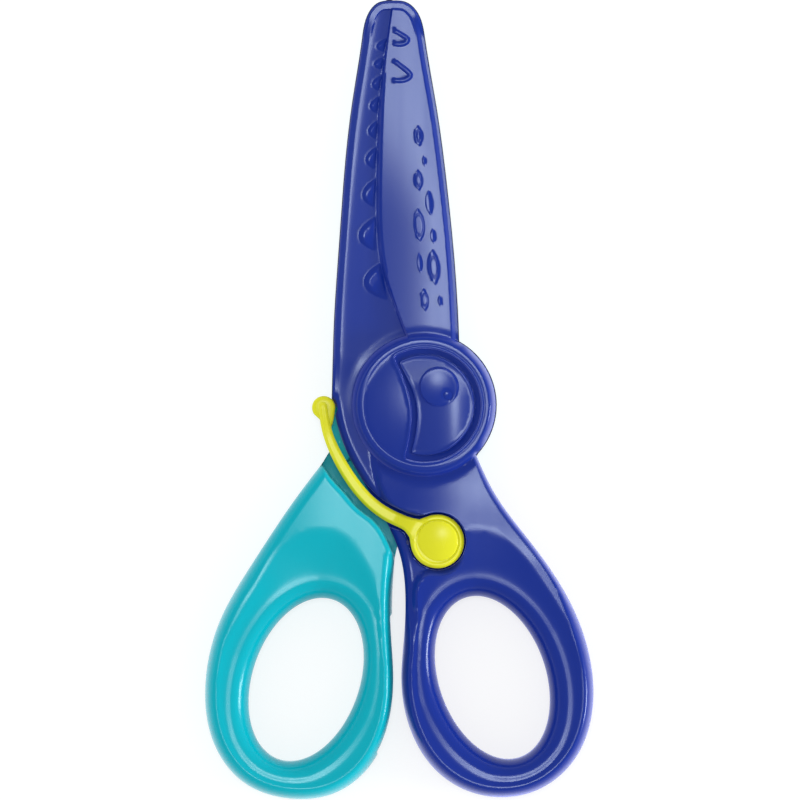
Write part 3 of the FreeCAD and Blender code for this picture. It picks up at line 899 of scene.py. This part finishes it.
def scale_lines():
    """Mesh lines from point to point of each scale, and around its oval groove."""
    tilt = math.radians(SCALE_TILT)
    lines = []
    for cx, cy, width, height, ring_width, ring_height in SCALES:
        v = np.linspace(-1, 1, 25)
        half = width / 2 * (1 - np.abs(v) ** SCALE_POWER)
        for share in (-1.0, -0.66, -0.33, 0.0, 0.33, 0.66, 1.0):
            lines.append(tilted(share * half, v * height / 2, cx, cy, tilt))
        if ring_width:
            t = np.linspace(0, 2 * math.pi, 33)
            for share in (0.8, 0.9, 1.0, 1.1, 1.2):
                ex = ring_width / 2 * share * np.cos(t)
                ey = ring_height / 2 * share * np.sin(t)
                lines.append(tilted(ex, ey, cx, cy, tilt))
    return lines


def tilted(dx, dy, cx, cy, tilt):
    """Points at an offset from a middle, turned anticlockwise by the tilt."""
    x = cx + dx * math.cos(tilt) - dy * math.sin(tilt)
    y = cy + dx * math.sin(tilt) + dy * math.cos(tilt)
    return np.column_stack([x, y])


def grip_lines(outline, inward, hole, dish, width):
    """Mesh lines inside a handle's edge, around its hole and along its dish."""
    depths = [0.04, 0.1, 0.18, 0.3, 0.45, 0.62, 0.8, 1.0, 1.25, width, 1.9, 2.4]
    lines = offsets(outline, [inward * depth for depth in depths])
    depths = [0.05, 0.12, 0.22, 0.36, 0.55, 0.8, 1.1, 1.4, 1.75, 2.1, 2.5, 2.8, 3.25, 3.7]
    lines += offsets(hole, [-depth for depth in depths], True)
    return lines + offsets(dish, [-0.4, 0, 0.4])


def make_front_half():
    """Blue moulding: blade, boss, neck and right loop."""
    lines = blade_feature_lines()
    lines += circles([9.05, 9.17, 9.3, 9.48, 9.65, 9.78, 9.92, 10.06, 10.2, 10.35, 10.5, 10.63, 10.73,
                      10.79, 10.83, 11.1, 11.5, 12.0])
    for loop in (recess_outline, pocket_outline):
        lines += offsets(loop, [0.02, -0.02, -0.08, -0.15, -0.22, -0.29, -0.36, -0.44], True)
    lines += grip_lines(front_handle_line, -1, front_hole, front_dish, FRONT_BORDER)
    lines += offsets(low_border, [-0.55, -0.25, 0, 0.25, 0.55])
    lines += circles([DEEP_R - 0.03, DEEP_R + 0.03, BOSS_R + 0.24], step=0.5)
    fills = [((-2, 3.2, 13.5, 42.5), 0.15), ((-14, 6, 8, 61), 0.22), ((-12, 12, -12, 12), 0.32),
             ((-16, 26, -45, 8), 0.42), ((-34, 26, -60, 62), 0.6)]
    piece = relief("front_moulding", front_outline(), [front_hole], lines, fills,
                   front_top, front_bottom)
    return placed(piece, "front", "blue_plastic", "front_half")


def rear_outline():
    start = math.degrees(math.atan2(BLADE_EDGE[-1][1], BLADE_EDGE[-1][0]))
    end = math.degrees(math.atan2(WEB_RIGHT[0][1], WEB_RIGHT[0][0]))
    shoulder = arc(BOSS_R, start, end)
    web = spline(WEB_RIGHT)
    grip = notched_grip(rear_handle_line[::-1])
    tongue = arc(TONGUE_R, math.degrees(math.atan2(-6.85, -13.55)) % 360, TONGUE_START)
    return ring(blade_line, shoulder, web, grip, np.array(WEB_LEFT), tongue)


def notched_grip(line):
    """Grip's outline with the shallow flat along its inner side."""
    run = np.gradient(line, axis=0)
    run /= np.linalg.norm(run, axis=1)[:, None]
    inward = np.column_stack([run[:, 1], -run[:, 0]])
    flat = (line[:, 1] < -31.6) & (line[:, 1] > -52.6) & (line[:, 0] > -12)
    return np.where(flat[:, None], line + 0.28 * inward, line)


def make_rear_half():
    """Teal moulding: left loop, guide tongue and the blade behind the front one."""
    lines = grip_lines(rear_handle_line, 1, rear_hole, rear_dish, REAR_BORDER)
    lines += offsets(plate_line, [-0.1, -0.02, 0.02, 0.06, 0.12, 0.2, 0.3, 0.42, 0.6, 0.9])
    lines += circles([LEDGE_R - 0.03, LEDGE_R + 0.03, BOSS_R + 0.17, BOSS_R + 0.23, 9.2, 9.7, 10.3,
                      CAP_R - 0.03, CAP_R + 0.03], step=0.5)
    lines += blade_feature_lines()
    lines += [np.array([[-12.35, -8.97], [-10.9, -7.92]]), np.array([[-12.30, -9.03], [-10.85, -7.98]])]
    fills = [((-14, 6, 8, 61), 0.28), ((-34, 0, -45, -8), 0.42), ((-34, 26, -60, 62), 0.6)]
    piece = relief("rear_moulding", rear_outline(), [rear_hole], lines, fills, rear_top, rear_bottom)
    return placed(piece, "rear", "teal_plastic", "rear_half")


def make_eye_panel():
    lines = offsets(panel_edge, [0.04, 0.08, 0.13, 0.18, 0.24, 0.3, 0.37], True)
    lines += circles([0.45, 0.55, 0.66, 0.77, 0.9], PUPIL, 0.12)
    lines += circles([2.6, 2.72, 2.8, 2.87, 2.95, 3.02, 3.1], EYE, 0.2)

    def floor(x, y):
        return np.full(len(x), PANEL_FLOOR - 0.3)

    piece = relief("eye_panel_face", panel_edge, [], lines, [((-9, 9, -9, 9), 0.3)], panel_top, floor)
    return placed(piece, "front", "blue_plastic", "eye_panel")


def lever_top(x, y):
    """Arm with bevelled edges that rises into the ring around the rivet."""
    edge, _ = to_line(x, y, arm_outline, True)
    r = np.hypot(x - BUTTON[0], y - BUTTON[1])
    level = LEVER_TOP + (LEVER_RIM - LEVER_TOP) * smooth(7.5, 4.0, r)
    level = level - 0.35 * smooth(-13.2, -15.3, x) * smooth(-6, -1, y)
    z = level - LEVER_BEVEL * np.clip(1 - edge / LEVER_BEVEL, 0, 1) ** 1.4
    bowl = smooth(RIVET_R + 0.3, RIVET_R, r)
    return z - RIVET_BOWL * bowl


def make_spring_lever():
    """Arm and ring of the springy lever."""
    lines = offsets(arm_outline, [0.1, 0.22, 0.34, 0.42, 0.5], True)
    lines += circles([RIVET_R + 0.02, RIVET_R + 0.12, RIVET_R + 0.3], BUTTON)

    def floor(x, y):
        return np.full(len(x), LEVER_BOTTOM)

    region = (-17, 7, -25, 1)
    piece = relief("lever_arm", arm_outline, [], lines, [(region, 0.3)], lever_top, floor)
    return placed(piece, "lever", "lime_plastic", "spring_lever")


def head_outline():
    """Teardrop around the lever's end, tapering down its right side."""
    tail = [(-13.42, -0.9), (-13.6, -2.2), (-14.05, -3.7)]
    back = [(-14.6, -3.4), (-15.6, -2.3), (-16.55, -1.4)]
    round_part = arc(HEAD_R, 214, -16, 0.2, HEAD)
    return turned_left(resample(ring(round_part, spline(tail, 0.2), spline(back, 0.2)), 0.2))


def make_lever_head():
    """Round head at the lever's free end."""
    outline = head_outline()

    def top(x, y):
        edge, _ = to_line(x, y, outline, True)
        return HEAD_TOP - roll(edge, *HEAD_ROLL) + 0.05 * smooth(0.4, 1.4, edge)

    def floor(x, y):
        return np.full(len(x), HEAD_BOTTOM)

    lines = offsets(outline, [0.08, 0.2, 0.35, 0.55, 0.8], True)
    piece = relief("lever_head", outline, [], lines, [((-17, -12, -5, 2), 0.25)], top, floor)
    return placed(piece, "lever", "lime_plastic")


def make_rivet():
    """Domed rivet with a rounded rim."""
    def top(x, y):
        r = np.hypot(x - BUTTON[0], y - BUTTON[1])
        away = np.hypot(x - RIVET_GLINT[0], y - RIVET_GLINT[1])
        return RIVET_TOP - RIVET_DOME * (away / RIVET_R) ** 2 - roll(RIVET_R - r, 0.22, 0.16)

    def floor(x, y):
        return np.full(len(x), RIVET_FLOOR)

    outline = arc(RIVET_R, 0, 360, 0.25, BUTTON)[:-1]
    lines = circles([RIVET_R - 0.05, RIVET_R - 0.12, RIVET_R - 0.22], BUTTON)
    piece = relief("rivet_dome", outline, [], lines, [((-2, 6, -24, -17), 0.25)], top, floor)
    return placed(piece, "front", "lime_plastic", "lever_rivet")


def placed(piece, body, slot, *nodes):
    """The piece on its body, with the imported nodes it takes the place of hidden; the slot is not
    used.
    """
    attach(piece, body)
    if nodes:
        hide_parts(*nodes)
    return piece


# Materials -------------------------------------------------------------------------------------

BLUE = (0.0045, 0.023, 0.255)
BLUE_SHEEN = (0.74, 0.85, 1.0)
TEAL_SHEEN = (0.75, 0.97, 1.0)
WHITE = (1.0, 1.0, 1.0)
TEAL = (0.0, 0.40, 0.49)
LIME = (0.72, 0.72, 0.018)
INSERT_BLUE = (0.003, 0.012, 0.09)
BUSH_WHITE = (0.62, 0.62, 0.58)


def plastic(name, colour, roughness=0.2, specular=0.25, grain=0.00002, variation=0.06, tint=WHITE,
            sheen=0.35):
    """Moulded plastic: faint mottling, fine grain, hairline scuffs and duller patches."""
    material = bpy.data.materials.new(name)
    material.use_nodes = True
    nodes = material.node_tree.nodes
    links = material.node_tree.links
    shader = nodes["Principled BSDF"]
    place = nodes.new("ShaderNodeTexCoord")

    mottle = nodes.new("ShaderNodeTexNoise")
    mottle.inputs["Scale"].default_value = 55.0
    mottle.inputs["Detail"].default_value = 5.0
    links.new(place.outputs["Object"], mottle.inputs["Vector"])
    shades = nodes.new("ShaderNodeMix")
    shades.data_type = "RGBA"
    shades.inputs["A"].default_value = (*[c * (1 - variation) for c in colour], 1)
    shades.inputs["B"].default_value = (*[min(c * (1 + variation), 1) for c in colour], 1)
    links.new(mottle.outputs["Fac"], shades.inputs["Factor"])
    links.new(shades.outputs["Result"], shader.inputs["Base Color"])
    shader.inputs["Specular Tint"].default_value = (*tint, 1)

    scuff = nodes.new("ShaderNodeTexNoise")
    scuff.inputs["Scale"].default_value = 900.0
    scuff.inputs["Detail"].default_value = 3.0
    stretch = nodes.new("ShaderNodeMapping")
    stretch.inputs["Rotation"].default_value = (0, 0, math.radians(28))
    stretch.inputs["Scale"].default_value = (1.0, 0.06, 1.0)
    links.new(place.outputs["Object"], stretch.inputs["Vector"])
    links.new(stretch.outputs["Vector"], scuff.inputs["Vector"])
    dull = nodes.new("ShaderNodeMapRange")
    dull.inputs["From Min"].default_value = 0.35
    dull.inputs["From Max"].default_value = 0.75
    dull.inputs["To Min"].default_value = roughness
    dull.inputs["To Max"].default_value = roughness + 0.02
    links.new(scuff.outputs["Fac"], dull.inputs["Value"])
    links.new(dull.outputs["Result"], shader.inputs["Roughness"])

    fine = nodes.new("ShaderNodeTexNoise")
    fine.inputs["Scale"].default_value = 1500.0
    fine.inputs["Detail"].default_value = 4.0
    links.new(place.outputs["Object"], fine.inputs["Vector"])
    bump = nodes.new("ShaderNodeBump")
    bump.inputs["Strength"].default_value = 0.12
    bump.inputs["Distance"].default_value = grain
    links.new(fine.outputs["Fac"], bump.inputs["Height"])
    links.new(bump.outputs["Normal"], shader.inputs["Normal"])
    shader.inputs["Specular IOR Level"].default_value = specular
    shader.inputs["Sheen Weight"].default_value = sheen
    shader.inputs["Sheen Roughness"].default_value = 0.35
    shader.inputs["Sheen Tint"].default_value = (*[0.3 + 0.7 * c for c in shades_of(colour)], 1)
    return material


def shades_of(colour):
    """The colour at full brightness."""
    return [c / max(colour) for c in colour]


def steel(name):
    """Plated steel with fine scuffs and slight tarnish."""
    material = plastic(name, (0.55, 0.56, 0.58), 0.28, 0.5, 0.00003, 0.12)
    material.node_tree.nodes["Principled BSDF"].inputs["Metallic"].default_value = 1.0
    return material


def paint(piece, material):
    piece.data.materials.clear()
    piece.data.materials.append(material)


# Stage -----------------------------------------------------------------------------------------

def make_floor():
    """Pale level floor that glows a little, so that the surroundings stay near white."""
    size = 3.0
    level = -0.0002
    turns = [(-1, -1), (1, -1), (1, 1), (-1, 1)]
    corners = [(size * x, size * y, level) for x, y in turns]
    floor = new_object("floor", corners, [(0, 1, 2, 3)])
    material = bpy.data.materials.new("pale_floor")
    material.use_nodes = True
    nodes = material.node_tree.nodes
    links = material.node_tree.links
    shader = nodes["Principled BSDF"]
    noise = nodes.new("ShaderNodeTexNoise")
    noise.inputs["Scale"].default_value = 30.0
    shade = nodes.new("ShaderNodeMapRange")
    shade.inputs["To Min"].default_value = 0.33
    shade.inputs["To Max"].default_value = 0.36
    links.new(noise.outputs["Fac"], shade.inputs["Value"])
    links.new(shade.outputs["Result"], shader.inputs["Base Color"])
    shader.inputs["Roughness"].default_value = 0.9
    shader.inputs["Specular IOR Level"].default_value = 0.0
    shader.inputs["Emission Color"].default_value = (1, 1, 1, 1)
    shader.inputs["Emission Strength"].default_value = 0.72
    paint(floor, material)


def add_panel_light(name, place, size, radiance):
    """Round softbox aimed at the part, set by its radiance."""
    data = bpy.data.lights.new(name, "AREA")
    data.shape = "DISK"
    data.size = size
    area = math.pi * size * size / 4
    data.energy = radiance * area * math.pi
    light = bpy.data.objects.new(name, data)
    light.location = place
    aim = Vector((0, 0, 0)) - Vector(place)
    light.rotation_euler = aim.to_track_quat("-Z", "Y").to_euler()
    bpy.context.scene.collection.objects.link(light)


KEY = {"place": (0.0, 0.11, 2.0), "size": 0.36, "radiance": 29.5}
SIDE = {"place": (1.6, -0.2, 0.25), "size": 0.5, "radiance": 30.0}


def make_world():
    """Dim sky that is bright towards the horizon."""
    world = bpy.data.worlds.new("studio")
    bpy.context.scene.world = world
    world.use_nodes = True
    nodes = world.node_tree.nodes
    links = world.node_tree.links
    place = nodes.new("ShaderNodeTexCoord")
    split = nodes.new("ShaderNodeSeparateXYZ")
    links.new(place.outputs["Generated"], split.inputs["Vector"])
    fade = nodes.new("ShaderNodeMapRange")
    fade.interpolation_type = "SMOOTHSTEP"
    fade.inputs["From Min"].default_value = 0.05
    fade.inputs["From Max"].default_value = 0.35
    fade.inputs["To Min"].default_value = 1.6
    fade.inputs["To Max"].default_value = 0.68
    links.new(split.outputs["Z"], fade.inputs["Value"])
    links.new(fade.outputs["Result"], nodes["Background"].inputs["Strength"])
    nodes["Background"].inputs["Color"].default_value = (1, 1, 1, 1)


def make_camera():
    """Long lens straight above the part, with the tip at the top of the picture."""
    data = bpy.data.cameras.new("camera")
    distance = 1.5
    width = 0.1203
    level = 0.007
    data.sensor_width = 36.0
    data.lens = data.sensor_width * (distance - level) / width
    data.clip_start = 0.05
    camera = bpy.data.objects.new("camera", data)
    camera.location = (-3.61 * MM, 0.75 * MM, distance)
    bpy.context.scene.collection.objects.link(camera)
    bpy.context.scene.camera = camera


def main():
    """Makes every piece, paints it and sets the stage."""
    blue = plastic("blue_plastic", BLUE, tint=BLUE_SHEEN, sheen=0.7)
    teal = plastic("teal_plastic", TEAL, specular=0.2, tint=TEAL_SHEEN, sheen=0.25)
    lime = plastic("lime_plastic", LIME, 0.26, 0.2, sheen=0.25)
    insert = plastic("insert_plastic", INSERT_BLUE, 0.3, 0.08, sheen=0.0)
    bush = plastic("bush_plastic", BUSH_WHITE, 0.35)
    metal = steel("screw_steel")
    paint(make_front_half(), blue)
    paint(make_eye_panel(), blue)
    paint(make_rear_half(), teal)
    paint(make_spring_lever(), lime)
    paint(make_lever_head(), lime)
    paint(make_rivet(), lime)
    finishes = {
        "front_half": blue, "eye_panel": blue, "front_blade": insert, "rear_blade": insert,
        "rear_half": teal, "rear_cap": teal, "pivot_screw": metal, "screw_washer": metal,
        "pivot_bush": bush, "spring_lever": lime, "lever_rivet": lime,
    }
    for node, material in finishes.items():
        paint(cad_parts[node], material)
    make_floor()
    add_panel_light("key", **KEY)
    add_panel_light("side", **SIDE)
    make_world()
    make_camera()
    bpy.context.scene.view_settings.view_transform = "Standard"


main()
